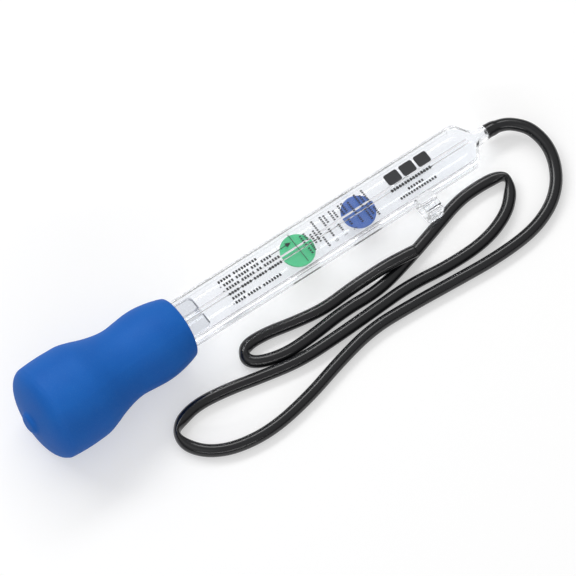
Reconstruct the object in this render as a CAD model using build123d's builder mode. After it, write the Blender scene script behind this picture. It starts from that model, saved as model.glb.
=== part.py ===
# Diesel exhaust fluid tester: a rubber squeeze bulb on a clear flat tube with two loose discs,
# a plug that keeps them in, and a rubber suction hose. It lies on a table, as a user lays it
# down: the bulb's belly and the hose carry it, and the tube slopes down towards the hose.
# Frame: +X from the bulb to the hose nozzle, +Z up, origin on the table under the middle of the
# tester. Stations are counted along the tester's own axis from the bulb's mouth, plus to the tip.
import os
from math import cos, pi, radians, sin, sqrt, tan

from build123d import *

# How the tester lies
tester_tilt = 3.8

# Squeeze bulb, moulded in one piece round its axis
bulb_length = 89.6
bulb_radius = 24.9
bulb_wall = 2.5
bulb_mouth_radius = 15.6
bulb_collar = 14.0
dome_length = 21.1
belly_front = 11.5
belly_back = 10.0
belly_crown = 120.0
nub_radius = 5.1
nub_height = 2.1
nub_round = 0.7
slot_clearance = 0.3

# Clear tube, moulded with its shoulder, nozzle, rib and hose holder
tube_inset = 22.0
tube_width = 24.4
tube_height = 9.1
tube_edge_round = 1.5
side_wall = 1.9
face_wall = 1.7
cavity_edge_round = 0.6
shoulder_station = 167.5
shoulder_length = 16.0
neck_radius = 3.7
neck_corner_share = 0.96
nozzle_bore_radius = 1.1
hollow_neck_radius = 1.5
spigot_radius = 1.9
spigot_length = 4.2
barb_bite = 0.15
rib_root_width = 4.1
rib_tip_width = 1.4
rib_height = 1.2
rib_end_station = 172.8
rib_end_round = 1.9
holder_station = 137.4
holder_root_length = 9.2
holder_end_length = 8.2
holder_reach = 10.5
holder_height = 8.8
holder_tip_round = 2.2
holder_bulb_round = 1.2
holder_bore_radius = 3.4
holder_bore_reach = 5.6

# End plug, pressed into the bulb end of the tube
plug_station = 13.4
plug_fit = 0.05
plug_side_taper = 1.1
plug_face_taper = 0.35
plug_tip_round = 2.5
plug_edge_round = 0.5
plug_flange = 2.0
plug_hole_radius = 1.1
plug_hole_drop = 0.6
groove_clearance = 0.2

# Floating discs, loose between the plug and the shoulder
disc_side_play = 1.6
disc_thickness = 1.2
disc_clearance = 0.1
disc_edge_round = 0.25
disc_side_shift = 0.9
green_station = 71.5
blue_station = 107.9

# Suction hose
hose_radius = 3.175
hose_bore_radius = 1.6
cuff_radius = 3.6
cuff_length = 4.8
cuff_fit = 0.03
hose_first_run = 9.0
bend_share = 0.45

# A cut runs this far past the face that it opens
overrun = 1.0

# Bulb outline from the mouth to the belly curve: shares of the way, and of the belly radius
neck_shares = [
    (0.009, 0.643),
    (0.035, 0.665),
    (0.061, 0.683),
    (0.140, 0.729),
    (0.245, 0.768),
    (0.349, 0.774),
    (0.454, 0.753),
    (0.559, 0.731),
    (0.645, 0.745),
    (0.732, 0.785),
    (0.819, 0.843),
    (0.906, 0.914),
]
# Bulb outline from the belly curve to the closed end, in the same shares
dome_shares = [
    (0.167, 0.959),
    (0.333, 0.918),
    (0.500, 0.849),
    (0.633, 0.762),
    (0.756, 0.640),
    (0.867, 0.474),
    (0.944, 0.300),
]
# Shoulder of the tube: share of its length, then how much of the tube's width and of its
# height is left over the neck
shoulder_shares = [
    (0.0, 1.0, 1.0),
    (0.15, 0.965, 1.0),
    (0.26, 0.85, 0.98),
    (0.36, 0.63, 0.88),
    (0.47, 0.37, 0.68),
    (0.58, 0.17, 0.44),
    (0.70, 0.05, 0.20),
    (0.82, 0.0, 0.04),
    (1.0, 0.0, 0.0),
]

# Route of the hose over the table after the nozzle, in four strands. At its far end it climbs
# and lies on the third strand.
hose_route = [
    (150.85, -4.6, 7.2),
    (155.15, -13.0, 6.6),
    (155.85, -23.0, 5.7),
    (153.05, -32.5, 4.7),
    (147.05, -41.0, 3.8),
    (137.05, -48.5, 3.3),
    (122.55, -54.0, 3.2),
    (100.55, -55.0, 3.2),
    (76.55, -52.5, 3.2),
    (52.55, -50.6, 3.2),
    (30.55, -49.5, 3.2),
    (8.55, -53.5, 3.2),
    (-14.45, -60.0, 3.2),
    (-37.45, -64.5, 3.2),
    (-57.45, -61.5, 3.2),
    (-69.95, -56.0, 3.2),
    (-77.65, -47.8, 3.2),
    (-78.45, -39.0, 3.2),
    (-72.45, -33.4, 3.2),
    (-61.45, -31.6, 3.2),
    (-45.45, -33.5, 3.2),
    (-27.45, -38.6, 3.2),
    (-7.45, -42.7, 3.2),
    (14.55, -43.2, 3.2),
    (38.55, -42.5, 3.2),
    (60.55, -41.0, 3.2),
    (82.55, -45.3, 3.2),
    (104.55, -44.0, 3.2),
    (119.55, -37.8, 3.2),
    (128.95, -31.6, 3.2),
    (130.35, -24.6, 3.2),
    (125.75, -19.3, 3.2),
    (115.55, -19.0, 3.2),
    (100.05, -19.3, 3.2),
    (82.55, -26.0, 3.2),
    (62.55, -32.5, 3.2),
    (42.55, -35.9, 3.2),
    (22.55, -33.9, 3.2),
    (2.55, -34.1, 3.2),
    (-12.95, -34.0, 3.2),
    (-26.25, -32.0, 3.2),
    (-29.45, -25.4, 3.2),
    (-25.45, -19.0, 3.2),
    (-14.45, -19.3, 3.2),
    (2.55, -24.3, 3.2),
    (20.55, -26.9, 3.2),
    (36.55, -26.9, 3.9),
    (49.55, -27.8, 7.4),
    (59.55, -29.2, 9.9),
    (69.05, -30.5, 10.0),
]

# Worked out from the sizes above. The bulb touches the table where its belly curve is lowest.
tilt = radians(tester_tilt)
belly_station = bulb_length - dome_length
along = Vector(cos(tilt), 0, -sin(tilt))
facing = Vector(sin(tilt), 0, cos(tilt))
nozzle_station = shoulder_station + shoulder_length
tester_end = nozzle_station + spigot_length
mouth_x = -(tester_end - bulb_length) * cos(tilt) / 2
mouth_z = belly_crown + (bulb_radius - belly_crown) * cos(tilt) - belly_station * sin(tilt)
hollow_width = tube_width - 2 * side_wall
hollow_height = tube_height - 2 * face_wall
floor_reach = hollow_height / 2
rib_floor = floor_reach - rib_height
disc_radius = hollow_width / 2 - disc_side_play


def across(station):
    # A plane square to the tester's axis, with x over the tube's width and y out of its face
    middle = Vector(mouth_x, 0, mouth_z) + along * station
    return Plane(origin=middle, x_dir=(0, 1, 0), z_dir=along)


lying = Plane(origin=(mouth_x, 0, mouth_z), x_dir=along, z_dir=facing)
upright = Plane(origin=(mouth_x, 0, mouth_z), x_dir=along, z_dir=(0, -1, 0))
tester_axis = Axis(origin=(mouth_x, 0, mouth_z), direction=along)


def bulb_outline(inset):
    # Half outline of the bulb, or of its hollow, which lies inside it by the inset
    radius = bulb_radius - inset
    crown = belly_crown - inset
    back = belly_back - inset
    start = belly_station - belly_front
    end = belly_station + back
    length = bulb_length - nub_height - inset
    neck = [(-place * start, height * radius) for place, height in neck_shares]
    dome = [(-end - place * (length - end), height * radius) for place, height in dome_shares]
    lip = (0, bulb_mouth_radius - inset)
    belly_start = (-start, radius - crown + sqrt(crown**2 - belly_front**2))
    belly_end = (-end, radius - crown + sqrt(crown**2 - back**2))
    start_slope = belly_front / crown
    end_slope = back / crown
    pole = (-length, 0)
    Line((0, 0), lip)
    Spline([lip] + neck + [belly_start], tangents=[(0, 1), (-1, start_slope)], tangent_scalars=[1, 1])
    ThreePointArc(belly_start, (-belly_station, radius), belly_end)
    Spline([belly_end] + dome + [pole], tangents=[(-1, -end_slope), (0, -1)], tangent_scalars=[1, 1])
    Line(pole, (0, 0))


# Squeeze bulb: a thick collar round the tube, a waist, a belly and a closed end with a small nub
with BuildPart() as bulb_hollow:
    with BuildSketch(upright):
        with BuildLine():
            bulb_outline(bulb_wall)
        make_face()
    revolve(axis=tester_axis)
    split(bisect_by=across(-bulb_collar), keep=Keep.BOTTOM)

with BuildPart() as squeeze_bulb:
    with BuildSketch(upright):
        with BuildLine():
            bulb_outline(0)
        make_face()
    revolve(axis=tester_axis)
    with BuildSketch(across(-bulb_length)):
        Circle(nub_radius)
    extrude(amount=nub_height + bulb_wall / 2)
    fillet(squeeze_bulb.faces().sort_by(tester_axis)[0].edges(), nub_round)
    add(bulb_hollow.part, mode=Mode.SUBTRACT)
    with BuildSketch(across(-bulb_collar - overrun)):
        RectangleRounded(
            tube_width + 2 * slot_clearance,
            tube_height + 2 * slot_clearance,
            tube_edge_round + slot_clearance,
        )
    extrude(amount=bulb_collar + 2 * overrun, mode=Mode.SUBTRACT)


def shoulder_sections(width, height, end_radius, edge_round):
    # Sections of the shoulder, from the tube's own section to a nearly round one: the station,
    # width, height and corner radius of each
    sections = []
    flat_corner = 2 * edge_round / height
    for place, width_share, height_share in shoulder_shares:
        wide = 2 * end_radius + width_share * (width - 2 * end_radius)
        high = 2 * end_radius + height_share * (height - 2 * end_radius)
        corner_share = flat_corner + (1 - width_share) * (neck_corner_share - flat_corner)
        station = shoulder_station + place * shoulder_length
        sections.append((station, wide, high, corner_share * min(wide, high) / 2))
    return sections


# Guide rib: a wedge that hangs from the middle of the front wall, with a rounded end in the shoulder
with BuildPart() as guide_rib:
    with BuildSketch(lying.offset(rib_floor)):
        with BuildLine():
            Polyline(
                (-tube_inset, -rib_root_width / 2),
                (-tube_inset, rib_root_width / 2),
                (rib_end_station, rib_root_width / 2),
                (rib_end_station, -rib_root_width / 2),
                close=True,
            )
        make_face()
        fillet(vertices().group_by(Axis.X)[-1], rib_end_round)
    extrude(amount=rib_height + face_wall / 2)
    with BuildSketch(across(-tube_inset)):
        with BuildLine():
            Polyline(
                (-rib_tip_width / 2, rib_floor),
                (-rib_root_width / 2, floor_reach + face_wall / 2),
                (rib_root_width / 2, floor_reach + face_wall / 2),
                (rib_tip_width / 2, rib_floor),
                close=True,
            )
        make_face()
    extrude(amount=tube_inset + rib_end_station, mode=Mode.INTERSECT)

# Clear tube: its outside, hollow, guide rib, hose holder, nozzle and barb
with BuildPart() as tube_body:
    with BuildSketch(across(-tube_inset)):
        RectangleRounded(tube_width, tube_height, tube_edge_round)
    extrude(amount=tube_inset + shoulder_station)
    outside = shoulder_sections(tube_width, tube_height, neck_radius, tube_edge_round)
    for station, wide, high, corner in outside:
        with BuildSketch(across(station)):
            RectangleRounded(wide, high, corner)
    loft()
    # Hose holder, a block on one edge with a hole along the tube
    root_reach = tube_width / 2 - (side_wall + tube_edge_round) / 2
    end_reach = tube_width / 2 + holder_reach
    with BuildSketch(lying.offset(-holder_height / 2)):
        with BuildLine():
            Polyline(
                (holder_station - holder_root_length / 2, -root_reach),
                (holder_station - holder_end_length / 2, -end_reach),
                (holder_station + holder_end_length / 2, -end_reach),
                (holder_station + holder_root_length / 2, -root_reach),
                close=True,
            )
        make_face()
        outer_corners = vertices().group_by(Axis.Y)[0].sort_by(Axis.X)
        fillet(outer_corners[0], holder_bulb_round)
        fillet(outer_corners[-1], holder_tip_round)
    extrude(amount=holder_height)
    holder_middle = -(tube_width / 2 + holder_bore_reach)
    with BuildSketch(across(holder_station - holder_root_length)):
        with Locations((holder_middle, 0)):
            Circle(holder_bore_radius)
    extrude(amount=2 * holder_root_length, mode=Mode.SUBTRACT)
    # Barbed spigot, with its ridge halfway
    with BuildSketch(upright):
        with BuildLine():
            Polyline(
                (nozzle_station - overrun, 0),
                (nozzle_station - overrun, spigot_radius),
                (nozzle_station + spigot_length / 3, spigot_radius),
                (nozzle_station + spigot_length / 2, spigot_radius + barb_bite + cuff_fit),
                (tester_end, spigot_radius - barb_bite),
                (tester_end, 0),
                close=True,
            )
        make_face()
    revolve(axis=tester_axis)
    # Hollow, open into the bulb and through the nozzle
    with BuildSketch(across(-tube_inset)):
        RectangleRounded(hollow_width, hollow_height, cavity_edge_round)
    extrude(amount=tube_inset + shoulder_station, mode=Mode.SUBTRACT)
    inside = shoulder_sections(hollow_width, hollow_height, hollow_neck_radius, cavity_edge_round)
    for station, wide, high, corner in inside:
        with BuildSketch(across(station)):
            RectangleRounded(wide, high, corner)
    loft(mode=Mode.SUBTRACT)
    with BuildSketch(across(nozzle_station - overrun)):
        Circle(nozzle_bore_radius)
    extrude(amount=spigot_length + 2 * overrun, mode=Mode.SUBTRACT)
    add(guide_rib.part)


# End plug: a tapered tongue in the tube with a groove for the rib, a hole and a flange
plug_root_width = hollow_width - 2 * plug_fit
plug_root_height = hollow_height - 2 * plug_fit
plug_tip_width = plug_root_width - 2 * plug_side_taper
plug_tip_height = plug_root_height - 2 * plug_face_taper
with BuildPart() as end_plug:
    with BuildSketch(lying):
        with BuildLine():
            Polyline(
                (-tube_inset, -plug_root_width / 2),
                (-tube_inset, plug_root_width / 2),
                (plug_station, plug_tip_width / 2),
                (plug_station, -plug_tip_width / 2),
                close=True,
            )
        make_face()
        fillet(vertices().group_by(Axis.X)[-1], plug_tip_round)
    extrude(amount=plug_root_height / 2, both=True)
    with BuildSketch(upright):
        with BuildLine():
            Polyline(
                (-tube_inset, -plug_root_height / 2),
                (-tube_inset, plug_root_height / 2),
                (plug_station, plug_tip_height / 2),
                (plug_station, -plug_tip_height / 2),
                close=True,
            )
        make_face()
    extrude(amount=plug_root_width, both=True, mode=Mode.INTERSECT)
    root_face = end_plug.faces().sort_by(tester_axis)[0]
    broad_faces = end_plug.faces().sort_by(Axis((0, 0, 0), facing))
    rims = (broad_faces[0].edges() + broad_faces[-1].edges()) - root_face.edges()
    fillet(rims, plug_edge_round)
    groove_floor = rib_floor - groove_clearance
    with BuildSketch(lying.offset(groove_floor)):
        with Locations(((plug_station - tube_inset) / 2, 0)):
            Rectangle(plug_station + tube_inset + overrun, rib_root_width)
    extrude(amount=plug_root_height, mode=Mode.SUBTRACT)
    with BuildSketch(across(-tube_inset)):
        RectangleRounded(tube_width, tube_height, tube_edge_round)
    extrude(amount=-plug_flange)
    with BuildSketch(across(-tube_inset - plug_flange - overrun)):
        with Locations((0, -plug_hole_drop)):
            Circle(plug_hole_radius)
    extrude(amount=tube_inset + plug_flange + plug_station + 2 * overrun, mode=Mode.SUBTRACT)


def floating_disc(station):
    # One disc on the tube's back wall, under the rib
    with BuildPart() as disc:
        with BuildSketch(lying.offset(disc_clearance - floor_reach)):
            with Locations((station, disc_side_shift)):
                Circle(disc_radius)
        extrude(amount=disc_thickness)
        fillet(disc.edges().filter_by(GeomType.CIRCLE), disc_edge_round)
    return disc


green_disc = floating_disc(green_station)
blue_disc = floating_disc(blue_station)


def bend_radii(points):
    # One radius for each bend of the hose, as large as its two runs allow
    radii = []
    for before, corner, after in zip(points, points[1:], points[2:]):
        arriving = corner - before
        leaving = after - corner
        turn = radians(arriving.get_angle(leaving))
        shorter = min(arriving.length, leaving.length)
        radii.append(bend_share * shorter / tan(turn / 2))
    return radii


# Hose: a stretched cuff over the spigot, then a plain tube along its route
nozzle_end = across(nozzle_station).origin
route = [nozzle_end, nozzle_end + along * hose_first_run] + [Vector(*point) for point in hose_route]
radii = bend_radii(route)
path_start = nozzle_end + along * cuff_length
cuff_end = nozzle_station + cuff_length
grip_end = nozzle_station + spigot_length + cuff_fit
grip_radius = spigot_radius + cuff_fit
with BuildPart() as hose:
    with BuildLine() as hose_line:
        FilletPolyline(path_start, *route[1:], radius=radii)
    with BuildSketch(across(cuff_end)):
        Circle(hose_radius)
        Circle(hose_bore_radius, mode=Mode.SUBTRACT)
    sweep(path=hose_line.wires()[0])
    tube_volume = hose.part.volume
    with BuildSketch(upright):
        with BuildLine():
            Polyline(
                (nozzle_station, grip_radius),
                (nozzle_station, cuff_radius),
                (grip_end, cuff_radius),
                (cuff_end, hose_radius),
                (cuff_end, hose_bore_radius),
                (grip_end, grip_radius),
                close=True,
            )
        make_face()
    revolve(axis=tester_axis)

hose_section = pi * (hose_radius**2 - hose_bore_radius**2)
hose_length = hose_line.wires()[0].length
print("hose length", round(hose_length, 1), "least radius", round(min(radii), 1))
print("hose radii", [round(radius, 1) for radius in radii])
print("hose volume over section times length", round(tube_volume / (hose_section * hose_length), 4))

os.makedirs("parts", exist_ok=True)

squeeze_bulb.part.label = "squeeze_bulb"
export_step(squeeze_bulb.part, "parts/squeeze_bulb.step")
tube_body.part.label = "tube_body"
export_step(tube_body.part, "parts/tube_body.step")
end_plug.part.label = "end_plug"
export_step(end_plug.part, "parts/end_plug.step")
green_disc.part.label = "green_disc"
export_step(green_disc.part, "parts/green_disc.step")
blue_disc.part.label = "blue_disc"
export_step(blue_disc.part, "parts/blue_disc.step")
hose.part.label = "hose"
export_step(hose.part, "parts/hose.step")
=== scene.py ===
# Fluid tester on a pale table: rubber squeeze bulb, clear moulded tube with two loose discs
# behind its ribbed front wall, a clear plug, and a black rubber hose that lies beside it.
import math

import bmesh
import bpy
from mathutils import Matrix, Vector, noise


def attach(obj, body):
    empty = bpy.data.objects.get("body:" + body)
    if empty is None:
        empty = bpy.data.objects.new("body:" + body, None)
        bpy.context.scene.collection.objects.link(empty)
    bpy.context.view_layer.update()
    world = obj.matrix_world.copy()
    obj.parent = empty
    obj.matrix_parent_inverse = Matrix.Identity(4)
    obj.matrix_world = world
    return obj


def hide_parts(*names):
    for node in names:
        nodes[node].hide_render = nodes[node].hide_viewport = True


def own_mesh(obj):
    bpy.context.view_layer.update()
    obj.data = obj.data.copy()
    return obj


mm = 0.001
nearlyNone = 1e-9  # keeps a division away from zero
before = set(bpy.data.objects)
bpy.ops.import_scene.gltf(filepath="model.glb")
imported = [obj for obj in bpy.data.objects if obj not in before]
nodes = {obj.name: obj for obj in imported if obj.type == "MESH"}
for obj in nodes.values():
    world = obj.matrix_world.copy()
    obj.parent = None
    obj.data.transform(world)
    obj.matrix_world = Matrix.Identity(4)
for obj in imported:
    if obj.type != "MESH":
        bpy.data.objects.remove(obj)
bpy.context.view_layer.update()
print("frame loaded")

# The tester's own axes: along it from the bulb's mouth, across it, and out of its front
tester = {
    "tiltDeg": 3.8,
    "mouthX": -48.942,  # mm, the bulb's mouth on the tester's axis
    "mouthZ": 20.569,
    "tubeWidth": 24.4,
    "tubeHeight": 9.1,
    "tubeCorner": 1.5,
    "nozzleStation": 183.5,  # where the hose begins
}
tilt = math.radians(tester["tiltDeg"])
alongAxis = Vector((math.cos(tilt), 0, -math.sin(tilt)))
sideAxis = Vector((0, 1, 0))
frontAxis = Vector((math.sin(tilt), 0, math.cos(tilt)))
mouth = Vector((tester["mouthX"], 0, tester["mouthZ"])) * mm


def onTester(station, side, height):
    # A point given in the tester's own millimetres
    return mouth + (alongAxis * station + sideAxis * side + frontAxis * height) * mm


# Small tools for colours, nodes and meshes


def hexColour(text):
    # sRGB hex to the linear colour that a shader works with
    channels = [int(text[place : place + 2], 16) / 255 for place in (1, 3, 5)]
    linear = [c / 12.92 if c <= 0.04045 else ((c + 0.055) / 1.055) ** 2.4 for c in channels]
    return (*linear, 1)


def newMaterial(name):
    material = bpy.data.materials.new(name)
    material.use_nodes = True
    material.node_tree.nodes.clear()
    return material, material.node_tree


def addNode(tree, kind, settings=None, values=None, links=None):
    # One node with its settings, the values of its sockets and what feeds them
    node = tree.nodes.new(kind)
    for key, value in (settings or {}).items():
        setattr(node, key, value)
    for key, value in (values or {}).items():
        node.inputs[key].default_value = value
    for key, source in (links or {}).items():
        tree.links.new(source, node.inputs[key])
    return node


def mathNode(tree, operation, first, second):
    # Arithmetic on two values, each a socket or a number
    node = addNode(tree, "ShaderNodeMath", {"operation": operation})
    for place, value in enumerate((first, second)):
        if isinstance(value, (int, float)):
            node.inputs[place].default_value = value
        else:
            tree.links.new(value, node.inputs[place])
    return node.outputs[0]


def noiseNode(tree, place, size, detail=2):
    # Noise with features of about one size, in the unit of the place that it reads
    values = {"Scale": 1 / size, "Detail": detail}
    return addNode(tree, "ShaderNodeTexNoise", None, values, {"Vector": place}).outputs["Fac"]


def mixNode(tree, share, first, second):
    # A colour between two others, each a hex colour or a socket
    node = addNode(tree, "ShaderNodeMix", {"data_type": "RGBA"}, None, {"Factor": share})
    for socket, colour in zip(node.inputs[6:8], (first, second)):
        if isinstance(colour, str):
            socket.default_value = hexColour(colour)
        else:
            tree.links.new(colour, socket)
    return node.outputs[2]


def rangeNode(tree, value, low, high):
    values = {"To Min": low, "To Max": high}
    return addNode(tree, "ShaderNodeMapRange", None, values, {"Value": value}).outputs["Result"]


def bumpNode(tree, height, strength, depth):
    values = {"Strength": strength, "Distance": depth * mm}
    return addNode(tree, "ShaderNodeBump", None, values, {"Height": height}).outputs["Normal"]


def finishTree(tree, shader, output="ShaderNodeOutputMaterial"):
    addNode(tree, output, links={"Surface": shader.outputs[0]})


def giveMaterial(piece, material):
    piece.data.materials.clear()
    piece.data.materials.append(material)
    for face in piece.data.polygons:
        face.material_index = 0


def makePiece(name, points, faces, material, body, smooth=True):
    mesh = bpy.data.meshes.new(name)
    mesh.from_pydata([tuple(point) for point in points], [], faces)
    checker = bmesh.new()
    checker.from_mesh(mesh)
    bmesh.ops.recalc_face_normals(checker, faces=checker.faces)
    checker.to_mesh(mesh)
    checker.free()
    for face in mesh.polygons:
        face.use_smooth = smooth
    piece = bpy.data.objects.new(name, mesh)
    bpy.context.scene.collection.objects.link(piece)
    giveMaterial(piece, material)
    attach(piece, body)
    return piece


def bandFaces(first, second, count):
    # Quads between two closed rings of the same number of points
    return [
        (first + k, first + (k + 1) % count, second + (k + 1) % count, second + k)
        for k in range(count)
    ]


def smoothStep(share):
    # From 0 to 1, level at both ends
    share = min(1, max(0, share))
    return share * share * (3 - 2 * share)


def splineValues(knots, steps):
    # A smooth line through (place, value) knots, with steps points from each knot to the next
    padded = [knots[0]] + list(knots) + [knots[-1]]
    line = []
    for before, start, end, after in zip(padded, padded[1:], padded[2:], padded[3:]):
        for step in range(steps):
            t = step / steps
            point = []
            for a, b, c, d in zip(before, start, end, after):
                bend = (2 * a - 5 * b + 4 * c - d) * t * t + (3 * b - a - 3 * c + d) * t**3
                point.append((2 * b + (c - a) * t + bend) / 2)
            line.append(tuple(point))
    return line + [tuple(knots[-1])]


# Materials

bulbRubber = {
    "lit": "#1268c2",
    "deep": "#085bb6",
    "bloom": "#4c82bd",  # pale dust that natural rubber sweats out
    "bloomShare": 0.2,
    "bloomFrom": 0.52,  # the noise values between which the dust comes in
    "bloomTo": 0.75,
    "smoothest": 0.56,
    "roughest": 0.7,
    "ior": 1.52,
    "specular": 0.25,
    "grainSize": 0.45,  # mm, spark-eroded mould grain
    "grainDepth": 0.035,
    "grainStrength": 0.6,
    "mottleSize": 14,
}


def mouldedRubber():
    # Compression-moulded rubber, matte from its mould grain: a wide soft sheen, nothing sharp
    look = bulbRubber
    material, tree = newMaterial("mouldedRubberBlue")
    place = addNode(tree, "ShaderNodeTexCoord").outputs["Object"]
    mottle = noiseNode(tree, place, look["mottleSize"] * mm, 3)
    grain = noiseNode(tree, place, look["grainSize"] * mm)
    specks = addNode(
        tree,
        "ShaderNodeMapRange",
        values={
            "From Min": look["bloomFrom"],
            "From Max": look["bloomTo"],
            "To Min": 0,
            "To Max": look["bloomShare"],
        },
        links={"Value": grain},
    )
    base = mixNode(tree, mottle, look["deep"], look["lit"])
    shader = addNode(
        tree,
        "ShaderNodeBsdfPrincipled",
        values={"IOR": look["ior"], "Specular IOR Level": look["specular"]},
        links={
            "Base Color": mixNode(tree, specks.outputs["Result"], base, look["bloom"]),
            "Roughness": rangeNode(tree, mottle, look["smoothest"], look["roughest"]),
            "Normal": bumpNode(tree, grain, look["grainStrength"], look["grainDepth"]),
        },
    )
    finishTree(tree, shader)
    return material


hoseRubber = {
    "black": "#0a0b0d",
    "worn": "#121317",
    "smoothest": 0.17,
    "roughest": 0.27,
    "ior": 1.47,
    "specular": 0.6,
    "streakSize": 0.9,  # mm, die lines along an extruded hose
    "streakReach": 30,  # mm that one of them runs
    "streakDepth": 0.02,
    "streakStrength": 0.5,
}


def extrudedRubber():
    # Extruded nitrile hose: charcoal, with a soft sheen that faint die lines draw out lengthwise
    look = hoseRubber
    material, tree = newMaterial("extrudedNitrileBlack")
    place = addNode(tree, "ShaderNodeAttribute", {"attribute_name": "laidStraight"})
    drawnOut = addNode(
        tree,
        "ShaderNodeMapping",
        values={"Scale": (1, 1, look["streakSize"] / look["streakReach"])},
        links={"Vector": place.outputs["Vector"]},
    )
    streaks = noiseNode(tree, drawnOut.outputs["Vector"], look["streakSize"])
    shader = addNode(
        tree,
        "ShaderNodeBsdfPrincipled",
        values={"IOR": look["ior"], "Specular IOR Level": look["specular"]},
        links={
            "Base Color": mixNode(tree, streaks, look["black"], look["worn"]),
            "Roughness": rangeNode(tree, streaks, look["smoothest"], look["roughest"]),
            "Normal": bumpNode(tree, streaks, look["streakStrength"], look["streakDepth"]),
        },
    )
    finishTree(tree, shader)
    return material


clearPlastic = {
    "tint": "#f1f2f4",
    "shadowTint": "#f2f3f4",
    "deepest": 5.5,  # turns of light, past which it goes straight on
    "smoothest": 0.015,
    "roughest": 0.054,
    "ior": 1.59,
    "flowSize": 2.5,  # mm, faint flow ripples from moulding
    "flowStretch": 0.18,  # below 1 they run along the tube
    "flowDepth": 0.012,
    "flowStrength": 0.5,
}


def clearStyrene(name):
    # Injection-moulded clear polystyrene: polished, and its faint flow ripples bend what is behind
    look = clearPlastic
    material, tree = newMaterial(name)
    alongTube = addNode(
        tree,
        "ShaderNodeMapping",
        values={"Rotation": (0, -tilt, 0), "Scale": (look["flowStretch"], 1, 1)},
        links={"Vector": addNode(tree, "ShaderNodeTexCoord").outputs["Object"]},
    )
    flow = noiseNode(tree, alongTube.outputs["Vector"], look["flowSize"] * mm)
    shader = addNode(
        tree,
        "ShaderNodeBsdfPrincipled",
        values={
            "Base Color": hexColour(look["tint"]),
            "IOR": look["ior"],
            "Transmission Weight": 1,
        },
        links={
            "Roughness": rangeNode(tree, flow, look["smoothest"], look["roughest"]),
            "Normal": bumpNode(tree, flow, look["flowStrength"], look["flowDepth"]),
        },
    )
    plainWay = addNode(
        tree, "ShaderNodeBsdfTransparent", values={"Color": hexColour(look["shadowTint"])}
    )
    # Lamps shine straight through, and so does light that stays caught between the walls, which
    # would otherwise end as black lines
    path = addNode(tree, "ShaderNodeLightPath").outputs
    caught = mathNode(tree, "GREATER_THAN", path["Ray Depth"], look["deepest"])
    straightOn = mathNode(tree, "MAXIMUM", path["Is Shadow Ray"], caught)
    either = addNode(
        tree,
        "ShaderNodeMixShader",
        links={0: straightOn, 1: shader.outputs["BSDF"], 2: plainWay.outputs["BSDF"]},
    )
    finishTree(tree, either)
    return material


discPolymer = {
    "green_disc": {"name": "turnedPolymerGreen", "base": "#0fae6a", "pale": "#25bd80"},
    "blue_disc": {"name": "turnedPolymerBlue", "base": "#03459a", "pale": "#105cb0"},
    "roughness": 0.42,
    "ior": 1.5,
    "sandSize": 0.6,  # mm, grain of the sliced face
    "sandDepth": 0.02,
    "sandStrength": 0.5,
}


def discPlastic(disc):
    # Filled polymer, sliced from a turned rod: satin, evenly coloured, with a fine sandy face
    look, colours = discPolymer, discPolymer[disc]
    material, tree = newMaterial(colours["name"])
    place = addNode(tree, "ShaderNodeTexCoord").outputs["Object"]
    sand = noiseNode(tree, place, look["sandSize"] * mm)
    shader = addNode(
        tree,
        "ShaderNodeBsdfPrincipled",
        values={"Roughness": look["roughness"], "IOR": look["ior"]},
        links={
            "Base Color": mixNode(tree, sand, colours["base"], colours["pale"]),
            "Normal": bumpNode(tree, sand, look["sandStrength"], look["sandDepth"]),
        },
    )
    finishTree(tree, shader)
    return material


printInk = {
    "full": "#19191c",
    "thin": "#2b2b2f",
    "coverSize": 0.3,  # mm
    "roughness": 0.5,
    "ior": 1.5,
}


def padInk():
    # Pad-printed ink: nearly black, thin and a little uneven
    look = printInk
    material, tree = newMaterial("padPrintInk")
    place = addNode(tree, "ShaderNodeTexCoord").outputs["Object"]
    cover = noiseNode(tree, place, look["coverSize"] * mm)
    shader = addNode(
        tree,
        "ShaderNodeBsdfPrincipled",
        values={"Roughness": look["roughness"], "IOR": look["ior"]},
        links={"Base Color": mixNode(tree, cover, look["full"], look["thin"])},
    )
    finishTree(tree, shader)
    return material


# CAD pieces that keep their shape: the clear tube and plug, and the two discs
giveMaterial(nodes["tube_body"], clearStyrene("clearStyreneTube"))
giveMaterial(nodes["end_plug"], clearStyrene("clearStyrenePlug"))
for disc in ("green_disc", "blue_disc"):
    giveMaterial(nodes[disc], discPlastic(disc))
print("clear parts and discs finished")


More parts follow.
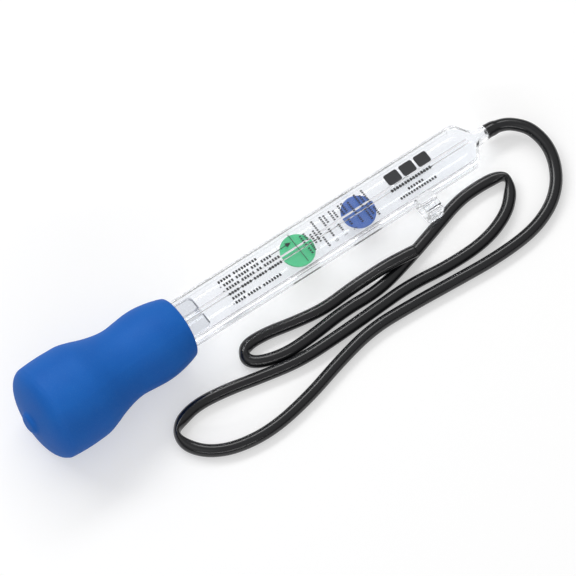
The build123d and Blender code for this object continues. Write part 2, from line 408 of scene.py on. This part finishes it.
# Squeeze bulb: one rubber moulding round the tester's axis, with a slot that grips the tube
bulb = {
    "outline": [  # mm from the mouth towards the closed end, and radius
        (0.0, 14.9),
        (0.03, 15.5),
        (0.25, 15.87),
        (0.7, 16.12),
        (2.0, 16.58),
        (3.5, 17.05),
        (8.0, 18.15),
        (14.0, 19.1),
        (19.9, 19.25),
        (25.9, 18.75),
        (31.9, 18.2),
        (36.8, 18.55),
        (41.7, 19.55),
        (46.7, 21.0),
        (51.6, 22.8),
        (57.0, 24.35),
        (62.5, 24.75),
        (68.5, 24.9),
        (74.0, 24.75),
        (78.5, 24.42),
        (80.0, 23.85),
        (81.5, 22.86),
        (83.0, 21.14),
        (84.2, 18.98),
        (85.3, 15.95),
        (86.25, 12.0),
        (86.85, 8.9),
        (87.25, 7.0),
        (87.75, 5.95),
        (88.4, 5.4),
        (89.0, 4.8),
        (89.4, 3.8),
        (89.57, 2.3),
        (89.6, 0.05),
    ],
    "steps": 5,  # rings from one outline point to the next
    "slices": 144,
    "droop": 0.95,  # mm that the belly sags towards the table's near side
    "droopFrom": 6,  # mm from the mouth
    "droopTo": 78,
    "seamDeg": 60,  # the parting seam, seen from the front half way down the near side
    "seamHeight": 0.1,
    "seamWidth": 0.35,
    "ringStation": 66.5,  # where the two mould halves for belly and end meet
    "ringHeight": 0.06,
    "seamFrom": 6,  # mm of radius where the seam begins
    "unevenness": 0.12,
    "swellSize": 18,  # mm from one swell to the next
    "swellFrom": 12,  # mm of radius below which the swells fade
    "slotClearance": 0.3,
    "lipDepth": 1.0,
    "collarDepth": 14.0,
    "widest": (68.5, 24.95),  # mm from the mouth, and the reach there
}


def roundedSlot(width, height, corner, count):
    # Points round a rectangle with rounded corners, one for each of count even angles
    points = []
    for k in range(count):
        angle = 2 * math.pi * k / count
        reach = min(
            (width / 2) / max(abs(math.cos(angle)), nearlyNone),
            (height / 2) / max(abs(math.sin(angle)), nearlyNone),
        )
        x, y = reach * math.cos(angle), reach * math.sin(angle)
        coreX, coreY = width / 2 - corner, height / 2 - corner
        if abs(x) > coreX and abs(y) > coreY:
            away = Vector((abs(x) - coreX, abs(y) - coreY)).normalized() * corner
            x = math.copysign(coreX + away.x, x)
            y = math.copysign(coreY + away.y, y)
        points.append((x, y))
    return points


def makeBulb():
    count = bulb["slices"]
    outline = splineValues(bulb["outline"], bulb["steps"])
    points, faces = [], []
    for station, radius in outline:
        for k in range(count):
            angle = 2 * math.pi * k / count
            side, height = math.cos(angle), math.sin(angle)
            spot = Vector((station, side * radius, height * radius)) / bulb["swellSize"]
            swell = bulb["unevenness"] * noise.noise(spot) * min(1, radius / bulb["swellFrom"])
            fromSeam = (math.degrees(angle) - bulb["seamDeg"] + 90) % 180 - 90
            seamReach = math.radians(fromSeam) * radius / bulb["seamWidth"]
            seam = bulb["seamHeight"] * math.exp(-(seamReach**2))
            if radius <= bulb["seamFrom"]:
                seam = 0
            ringReach = (station - bulb["ringStation"]) / bulb["seamWidth"]
            ring = bulb["ringHeight"] * math.exp(-(ringReach**2))
            reach = radius + swell + max(seam, ring)
            sag = (station - bulb["droopFrom"]) / (bulb["droopTo"] - bulb["droopFrom"])
            sag = bulb["droop"] * smoothStep(sag)
            points.append(onTester(-station, -side * reach - sag, height * reach))
    for ring in range(len(outline) - 1):
        faces += bandFaces(ring * count, (ring + 1) * count, count)
    faces.append(tuple((len(outline) - 1) * count + k for k in range(count)))
    slot = roundedSlot(
        tester["tubeWidth"] + 2 * bulb["slotClearance"],
        tester["tubeHeight"] + 2 * bulb["slotClearance"],
        tester["tubeCorner"],
        count,
    )
    slotStart = len(points)
    for depth in (0, bulb["lipDepth"], bulb["collarDepth"]):
        for x, y in slot:
            points.append(onTester(-depth, -x, y))
    faces += bandFaces(0, slotStart, count)
    faces += bandFaces(slotStart, slotStart + count, count)
    faces += bandFaces(slotStart + count, slotStart + 2 * count, count)
    faces.append(tuple(slotStart + 2 * count + k for k in range(count)))
    piece = makePiece("bulb_skin", points, faces, mouldedRubber(), "bulb")
    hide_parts("squeeze_bulb")
    return piece


bulbSkin = makeBulb()
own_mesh(bulbSkin)
print("bulb made")


# Suction hose: stretched over the nozzle, then in four strands over the table, with a bare end
hose = {
    "radius": 3.175,
    "bore": 1.6,
    "cuffRadius": 3.6,
    "firstRun": 9.0,
    "gripDepth": 4.2,
    "gripRadius": 1.93,
    "easeLength": 3.0,  # mm in which the stretched end falls to the plain width
    "boreDepth": 16,
    "bevelDepth": 0.3,  # at the mouth of each bore
    "bevelWidth": 0.12,
    "clearance": 0.02,  # mm between the hose and the table
    "samePlace": 0.01,  # mm, points nearer than this count as one
    "slices": 48,
    "kinks": [  # mm along the hose, mm that each reaches, and the share of the width that it takes
        (298.2, 5.6, 0.47),
        (516.4, 5.0, 0.46),
        (683.5, 2.6, 0.16),
    ],
    "bulge": 0.5,  # share of that width which goes into the height
    "ripple": 0.05,  # mm, wrinkles where the hose end is stretched
    "ripplePitch": 1.7,
    "rippleEnd": 9,
    "resolution": 20,
    "order": 3,  # parabolas, so that the line stays close to its control points
    "route": [  # mm, control points from the nozzle to the bare end
        (152.15, -7.85, 7.2),
        (154.80, -15.85, 6.6),
        (154.95, -24.35, 5.7),
        (152.05, -33.10, 4.7),
        (146.35, -41.50, 3.8),
        (136.70, -48.90, 3.3),
        (121.85, -53.90, 3.2),
        (99.80, -54.70, 3.2),
        (75.75, -52.65, 3.2),
        (51.90, -50.50, 3.2),
        (30.00, -49.35, 3.2),
        (8.25, -53.55, 3.2),
        (-15.10, -60.00, 3.2),
        (-39.25, -63.65, 3.2),
        (-58.10, -61.30, 3.2),
        (-70.50, -55.40, 3.2),
        (-77.50, -47.00, 3.2),
        (-79.20, -38.55, 3.2),
        (-72.50, -33.95, 3.2),
        (-61.25, -31.70, 3.2),
        (-45.15, -33.90, 3.2),
        (-27.15, -38.40, 3.2),
        (-7.65, -42.50, 3.2),
        (13.85, -42.75, 3.2),
        (36.95, -42.20, 3.2),
        (57.85, -41.55, 3.2),
        (79.80, -44.60, 3.2),
        (101.30, -44.55, 3.2),
        (117.65, -39.15, 3.2),
        (126.65, -31.10, 3.2),
        (130.20, -24.10, 3.2),
        (126.75, -20.65, 3.2),
        (117.75, -19.35, 3.2),
        (103.50, -19.55, 3.2),
        (85.30, -24.90, 3.2),
        (64.15, -30.75, 3.2),
        (44.85, -35.00, 3.2),
        (24.30, -33.80, 3.2),
        (3.80, -35.50, 3.2),
        (-11.70, -35.50, 3.2),
        (-24.80, -31.45, 3.2),
        (-29.00, -26.10, 3.2),
        (-25.20, -20.65, 3.2),
        (-13.75, -20.95, 3.2),
        (2.55, -24.85, 3.2),
        (18.10, -27.35, 3.2),
        (34.15, -26.60, 3.9),
        (48.10, -27.95, 7.4),
        (58.95, -29.45, 9.9),
        (69.25, -30.95, 10.0),
    ],
}


def hoseLine():
    # The middle of the hose: straight out of the nozzle, and then a smooth curve along the route
    start = onTester(tester["nozzleStation"], 0, 0)
    straight = onTester(tester["nozzleStation"] + hose["firstRun"], 0, 0)
    route = [start, straight] + [Vector(point) * mm for point in hose["route"]]
    curve = bpy.data.curves.new("hoseLine", "CURVE")
    curve.dimensions = "3D"
    curve.resolution_u = hose["resolution"]
    spline = curve.splines.new("NURBS")
    spline.points.add(len(route) - 1)
    for knot, point in zip(spline.points, route):
        knot.co = (*point, 1)
    spline.order_u = hose["order"]
    spline.use_endpoint_u = True
    guide = bpy.data.objects.new("hoseLine", curve)
    bpy.context.scene.collection.objects.link(guide)
    bpy.context.view_layer.update()
    evaluated = guide.evaluated_get(bpy.context.evaluated_depsgraph_get())
    mesh = bpy.data.meshes.new_from_object(evaluated)
    line = []
    for vertex in mesh.vertices:
        if not line or (vertex.co - line[-1]).length > hose["samePlace"] * mm:
            line.append(vertex.co.copy())
    bpy.data.meshes.remove(mesh)
    bpy.data.objects.remove(guide)
    return line


def hoseRadiusAt(distance):
    # Stretched and wrinkled where it grips the nozzle, and plain after that
    full = hose["cuffRadius"] * mm
    plain = hose["radius"] * mm
    share = (distance / mm - hose["gripDepth"]) / hose["easeLength"]
    fade = max(0, 1 - distance / mm / hose["rippleEnd"])
    wrinkle = hose["ripple"] * fade * math.sin(2 * math.pi * distance / mm / hose["ripplePitch"])
    return full + (plain - full) * smoothStep(share) + wrinkle * mm


def kinkAt(distance):
    # The share of its width that the hose loses where a fold pinches it
    flat = 0
    for place, reach, most in hose["kinks"]:
        flat += most * math.exp(-(((distance / mm - place) / reach) ** 2))
    return flat


def wayAt(line, index):
    # The direction of the hose at a point of its line
    before, after = max(index - 1, 0), min(index + 1, len(line) - 1)
    return (line[after] - line[before]).normalized()


def uprightTo(way):
    # The direction across the hose that is nearest to upright
    return (Vector((0, 0, 1)) - way * way.z).normalized()


def makeHose():
    line = hoseLine()
    count = hose["slices"]
    distances = [0]
    for before, after in zip(line, line[1:]):
        distances.append(distances[-1] + (after - before).length)
    last = len(line) - 1
    points, faces, laid = [], [], []
    for k in range(last + 1):
        way = wayAt(line, k)
        up = uprightTo(way)
        side = way.cross(up)
        flat = kinkAt(distances[k])
        radius = hoseRadiusAt(distances[k])
        wide = radius * (1 - flat)
        high = radius * (1 + hose["bulge"] * flat)
        lift = max(0, high - line[k].z + hose["clearance"] * mm)
        centre = line[k] + up * lift
        for j in range(count):
            angle = 2 * math.pi * j / count
            across, rise = math.cos(angle), math.sin(angle)
            points.append(centre + side * wide * across + up * high * rise)
            laid.append((hose["radius"] * across, hose["radius"] * rise, distances[k] / mm))
    for ring in range(last):
        faces += bandFaces(ring * count, (ring + 1) * count, count)
    faces += hoseEnd(points, line, 0, 1, hose["gripRadius"], hose["gripDepth"])
    faces += hoseEnd(points, line, last, -1, hose["bore"], hose["boreDepth"])
    piece = makePiece("hose_tube", points, faces, extrudedRubber(), "tube")
    # Where each point would lie on a straight hose, in mm, for the die lines
    straightened = piece.data.attributes.new("laidStraight", "FLOAT_VECTOR", "POINT")
    for place, spot in zip(straightened.data, laid):
        place.vector = spot
    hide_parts("hose")
    print("hose length", round(distances[-1], 4))


def hoseEnd(points, line, index, step, boreRadius, depth):
    # The cut face of one end, and the bore behind it down to its depth
    count = hose["slices"]
    way = (line[index + step] - line[index]).normalized()
    up = uprightTo(way)
    outward = wayAt(line, index)
    right = points[index * count] - line[index]
    right = (right - outward * right.dot(outward)).normalized()
    faces = []
    starts = [index * count]
    for inset in (0, hose["bevelDepth"], depth / 2, depth):
        starts.append(len(points))
        centre = line[index] + way * inset * mm
        radius = (boreRadius + (hose["bevelWidth"] if inset == 0 else 0)) * mm
        for j in range(count):
            angle = 2 * math.pi * j / count
            points.append(centre + (right * math.cos(angle) + up * math.sin(angle)) * radius)
    for first, second in zip(starts, starts[1:]):
        faces += bandFaces(first, second, count)
    faces.append(tuple(starts[-1] + j for j in range(count)))
    return faces


makeHose()
print("hose made")


# Print on the front wall: a fill line with its arrow, rows and columns of small plain blocks where
# lines of text would stand, plain numerals beside the scale, and three larger blocks
printing = {
    "lift": 0.02,  # mm above the wall
    "thickness": 0.03,
    "cornerSteps": 4,
    "letterCorner": 0.2,
    "letterPlace": 1.58,  # mm of a row that one letter would take
    "letterPlaceAcross": 1.2,  # the same in the columns
    "blockShare": 0.66,  # of a letter's place that its plain block takes
    "wordGap": 0.7,  # of a letter's place
    "rowHeight": 1.5,
    "columnHeight": 1.15,
    "fillStation": 70.5,
    "fillSpan": (-8.7, 8.3),
    "fillWidth": 0.42,
    "fillCorner": 0.105,
    "arrow": {"side": 4.1, "from": 57.7, "neck": 66.4, "tip": 69.5, "shaft": 0.42, "head": 2.7},
    "rows": [  # place across the tube, start, and the letters that each word would have
        (6.5, 27.8, (5, 9)),
        (3.9, 29.2, (4, 5, 3, 4)),
        (1.3, 29.2, (5, 5, 2, 6)),
        (-1.6, 28.6, (4, 4, 5, 5)),
        (-4.3, 28.6, (5,)),
        (-6.9, 28.6, (4, 5, 7)),
    ],
    "dots": (3.9, 1.3, -6.9),  # rows that begin with a dot
    "dotStation": 27.6,
    "dotSize": 0.75,
    "columns": [  # station, and the spans of its words across the tube
        (74.8, ((-6.6, -2.4), (-1.3, 4.9))),
        (77.0, ((-6.0, -0.6), (0.5, 4.9))),
        (79.5, ((-3.2, 2.8),)),
        (81.7, ((-3.8, 3.7),)),
        (83.9, ((-8.2, -1.9), (-0.8, 8.1))),
        (88.6, ((-4.9, 0.2), (1.6, 7.7))),
        (90.6, ((2.4, 7.4),)),
        (94.0, ((-4.9, -0.4), (1.6, 7.7))),
        (96.0, ((2.1, 6.8),)),
        (99.5, ((-4.9, -1.0), (1.6, 7.7))),
        (101.5, ((2.1, 7.7),)),
        (104.6, ((-6.8, -2.2), (-1.1, 6.4))),
        (109.3, ((-8.2, -1.3), (-0.2, 8.0))),
        (111.4, ((-6.2, 0.4), (1.5, 6.2))),
        (113.6, ((-8.2, -2.6), (-1.5, 8.0))),
    ],
    "numerals": {"0": 88.6, "1": 94.0, "2": 99.5},  # each at the foot of its column
    "numeralSide": -8.2,
    "numeralSize": 2.6,
    "numeralFoot": 0.75,  # mm from its station to its foot
    "numeralSteps": 4,
    "numeralWeld": 0.002,  # mm, points nearer than this are joined
    "blocks": ((126.6, 134.4), (135.6, 143.2), (144.4, 151.8)),  # spans along the tube
    "blockSpan": (1.1, 7.4),
    "blockCorner": 1.1,
    "underMarks": [  # side, start, end and height
        (-1.5, 125.4, 149.6, 1.7),
        (-4.9, 133.0, 142.5, 1.4),
        (-7.3, 126.8, 148.6, 1.4),
    ],
}


def inkPlate(points, faces, outline):
    # A thin plate of ink on the front wall
    high = tester["tubeHeight"] / 2 + printing["lift"]
    start, count = len(points), len(outline)
    for height in (high - printing["thickness"], high):
        points += [onTester(u, v, height) for u, v in outline]
    faces.append(tuple(range(start, start + count)))
    faces.append(tuple(range(start + count, start + 2 * count)))
    faces += bandFaces(start, start + count, count)


def roundedMark(points, faces, u0, u1, v0, v1, corner):
    # A plate with rounded corners between two stations and two places across the tube
    outline = []
    steps = printing["cornerSteps"]
    for u, v, turn in ((u1, v1, 0), (u0, v1, 1), (u0, v0, 2), (u1, v0, 3)):
        coreU = min(max(u, u0 + corner), u1 - corner)
        coreV = min(max(v, v0 + corner), v1 - corner)
        for step in range(steps + 1):
            angle = math.pi / 2 * (turn + step / steps)
            outline.append((coreU + corner * math.cos(angle), coreV + corner * math.sin(angle)))
    inkPlate(points, faces, outline)


def markRun(points, faces, start, end, middle, height, place, across):
    # Plain blocks in a row, one in each letter's place
    step = (end - start) / max(1, round((end - start) / place))
    spot = start
    while spot < end - step / 2:
        run = (spot, spot + printing["blockShare"] * step)
        band = (middle - height / 2, middle + height / 2)
        u, v = (band, run) if across else (run, band)
        roundedMark(points, faces, *u, *v, printing["letterCorner"])
        spot += step


def numeralPlate(points, faces, text, station, side):
    # A plain numeral that reads across the tube
    letter = bpy.data.curves.new("numeral", "FONT")
    letter.body = text
    letter.size = printing["numeralSize"]
    letter.extrude = printing["thickness"] / 2
    letter.resolution_u = printing["numeralSteps"]
    holder = bpy.data.objects.new("numeral", letter)
    bpy.context.scene.collection.objects.link(holder)
    bpy.context.view_layer.update()
    evaluated = holder.evaluated_get(bpy.context.evaluated_depsgraph_get())
    mesh = bpy.data.meshes.new_from_object(evaluated)
    bpy.data.objects.remove(holder)
    welder = bmesh.new()
    welder.from_mesh(mesh)
    bmesh.ops.remove_doubles(welder, verts=welder.verts, dist=printing["numeralWeld"])
    start = len(points)
    middle = tester["tubeHeight"] / 2 + printing["lift"] - printing["thickness"] / 2
    foot = printing["numeralFoot"]
    for vertex in welder.verts:
        x, y, z = vertex.co
        points.append(onTester(station + foot - y, side + x, middle + z))
    faces += [tuple(start + vertex.index for vertex in face.verts) for face in welder.faces]
    welder.free()
    bpy.data.meshes.remove(mesh)


def makeFillLine(ink):
    points, faces = [], []
    station, width = printing["fillStation"], printing["fillWidth"]
    corner = printing["fillCorner"]
    low, high = printing["fillSpan"]
    roundedMark(points, faces, station - width / 2, station + width / 2, low, high, corner)
    arrow = printing["arrow"]
    side, shaft, head = arrow["side"], arrow["shaft"] / 2, arrow["head"] / 2
    tail, neck, tip = arrow["from"], arrow["neck"], arrow["tip"]
    inkPlate(
        points,
        faces,
        [
            (tail, side - shaft),
            (neck, side - shaft),
            (neck, side - head),
            (tip, side),
            (neck, side + head),
            (neck, side + shaft),
            (tail, side + shaft),
        ],
    )
    piece = makePiece("fill_line", points, faces, ink, "tube", smooth=False)


def makeMarks(ink):
    points, faces = [], []
    half = printing["dotSize"] / 2
    place = printing["letterPlace"]
    for side, start, words in printing["rows"]:
        for letters in words:
            end = start + letters * place
            markRun(points, faces, start, end, side, printing["rowHeight"], place, False)
            start = end + printing["wordGap"] * place
    for side in printing["dots"]:
        start = printing["dotStation"]
        roundedMark(points, faces, start - half, start + half, side - half, side + half, half)
    for station, spans in printing["columns"]:
        for low, high in spans:
            height, across = printing["columnHeight"], printing["letterPlaceAcross"]
            markRun(points, faces, low, high, station, height, across, True)
    for start, end in printing["blocks"]:
        low, high = printing["blockSpan"]
        roundedMark(points, faces, start, end, low, high, printing["blockCorner"])
    for side, start, end, height in printing["underMarks"]:
        markRun(points, faces, start, end, side, height, place, False)
    for text, station in printing["numerals"].items():
        numeralPlate(points, faces, text, station, printing["numeralSide"])
    piece = makePiece("front_marks", points, faces, ink, "tube", smooth=False)


ink = padInk()
makeFillLine(ink)
makeMarks(ink)
print("print made")


# Table, light and camera
table = {
    "reach": 6,  # metres from its middle to each edge
    "white": "#cbcbcb",
    "glow": 0.44,
}


def seenDirectly(tree):
    # 1 for what the camera sees straight, in a reflection or through clear plastic, and else 0
    path = addNode(tree, "ShaderNodeLightPath").outputs
    either = mathNode(tree, "MAXIMUM", path["Is Camera Ray"], path["Is Glossy Ray"])
    return mathNode(tree, "MAXIMUM", either, path["Is Transmission Ray"])


def makeTable():
    reach = table["reach"]
    mesh = bpy.data.meshes.new("table")
    corners = [(-reach, -reach, 0), (reach, -reach, 0), (reach, reach, 0), (-reach, reach, 0)]
    mesh.from_pydata(corners, [], [(0, 1, 2, 3)])
    top = bpy.data.objects.new("table", mesh)
    bpy.context.scene.collection.objects.link(top)
    material, tree = newMaterial("matteWhiteTable")
    # Painted board: dull and even. Its glow only lifts what the camera sees to a clean white.
    paint = addNode(tree, "ShaderNodeBsdfDiffuse", values={"Color": hexColour(table["white"])})
    power = mathNode(tree, "MULTIPLY", seenDirectly(tree), table["glow"])
    glow = addNode(tree, "ShaderNodeEmission", links={"Strength": power})
    both = addNode(tree, "ShaderNodeAddShader", links={0: paint.outputs[0], 1: glow.outputs[0]})
    finishTree(tree, both)
    giveMaterial(top, material)


sky = {
    "horizon": 0.12,  # strength of its light there, and overhead
    "above": 0.55,
    "fadeFrom": 0.1,  # sine of the angle above the horizon
    "fadeTo": 0.7,
    "deep": 3.5,  # turns of light, past which it counts as seen through the clear walls
}


def makeWorld():
    # A studio: dim all round and dimmest at the horizon, so that gloss comes from the lamps, but
    # white behind the clear plastic
    world = bpy.data.worlds.new("studio")
    world.use_nodes = True
    tree = world.node_tree
    tree.nodes.clear()
    way = addNode(tree, "ShaderNodeTexCoord").outputs["Generated"]
    rise = addNode(tree, "ShaderNodeSeparateXYZ", links={"Vector": way}).outputs["Z"]
    dim = addNode(
        tree,
        "ShaderNodeMapRange",
        {"interpolation_type": "SMOOTHSTEP"},
        {
            "From Min": sky["fadeFrom"],
            "From Max": sky["fadeTo"],
            "To Min": sky["horizon"],
            "To Max": sky["above"],
        },
        {"Value": rise},
    )
    # Light that went straight on out of the clear walls counts as seen through them
    path = addNode(tree, "ShaderNodeLightPath").outputs
    wentOn = mathNode(tree, "GREATER_THAN", path["Ray Depth"], sky["deep"])
    through = mathNode(tree, "MAXIMUM", path["Is Transmission Ray"], wentOn)
    strength = mathNode(tree, "MAXIMUM", dim.outputs["Result"], through)
    glow = addNode(
        tree,
        "ShaderNodeBackground",
        values={"Color": (1, 1, 1, 1)},
        links={"Strength": strength},
    )
    finishTree(tree, glow, "ShaderNodeOutputWorld")
    bpy.context.scene.world = world


lamps = {
    # where each hangs and its size across and up, in metres, and its watts
    "keyPanel": {"at": (-0.7, 1.5, 1.9), "size": (1.2, 1.2), "power": 5},
    "farStrip": {"at": (0.1, 1.45, 1.8), "size": (2.8, 0.5), "power": 27},
    "nearStrip": {"at": (-0.9, -1.7, 0.9), "size": (2.4, 0.1), "power": 8},
    "leftPanel": {"at": (-1.1, -0.3, 2.1), "size": (1.6, 1.6), "power": 3},
}


def makeLamps(aim):
    for name, lamp in lamps.items():
        light = bpy.data.lights.new(name, "AREA")
        light.shape = "RECTANGLE"
        light.size, light.size_y = lamp["size"]
        light.energy = lamp["power"]
        holder = bpy.data.objects.new(name, light)
        holder.location = lamp["at"]
        holder.rotation_euler = (Vector(lamp["at"]) - aim).to_track_quat("Z", "Y").to_euler()
        holder.visible_camera = False
        bpy.context.scene.collection.objects.link(holder)


camera = {
    "azimuthDeg": 36.23,
    "elevationDeg": 66,
    "lens": 600,  # long, because the photograph shows no perspective
    "sensor": 36,
    "frameWidth": 276.5,  # mm of the table that the frame shows
    "aim": (8.14, -10.64, 10),
    "clip": (0.01, 10),  # nearest and farthest that it sees, as shares of its distance
}


def makeCamera():
    heading, rise = math.radians(camera["azimuthDeg"]), math.radians(camera["elevationDeg"])
    back = Vector(
        (-math.sin(heading) * math.cos(rise), -math.cos(heading) * math.cos(rise), math.sin(rise))
    )
    lens = bpy.data.cameras.new("camera")
    lens.lens = camera["lens"]
    lens.sensor_width = camera["sensor"]
    distance = camera["frameWidth"] * mm * camera["lens"] / camera["sensor"]
    lens.clip_start, lens.clip_end = [share * distance for share in camera["clip"]]
    holder = bpy.data.objects.new("camera", lens)
    holder.location = Vector(camera["aim"]) * mm + back * distance
    holder.rotation_euler = back.to_track_quat("Z", "Y").to_euler()
    bpy.context.scene.collection.objects.link(holder)
    bpy.context.scene.camera = holder


makeTable()
makeWorld()
makeLamps(Vector(camera["aim"]) * mm)
makeCamera()
bpy.context.scene.view_settings.view_transform = "Standard"
print("table, light and camera set")
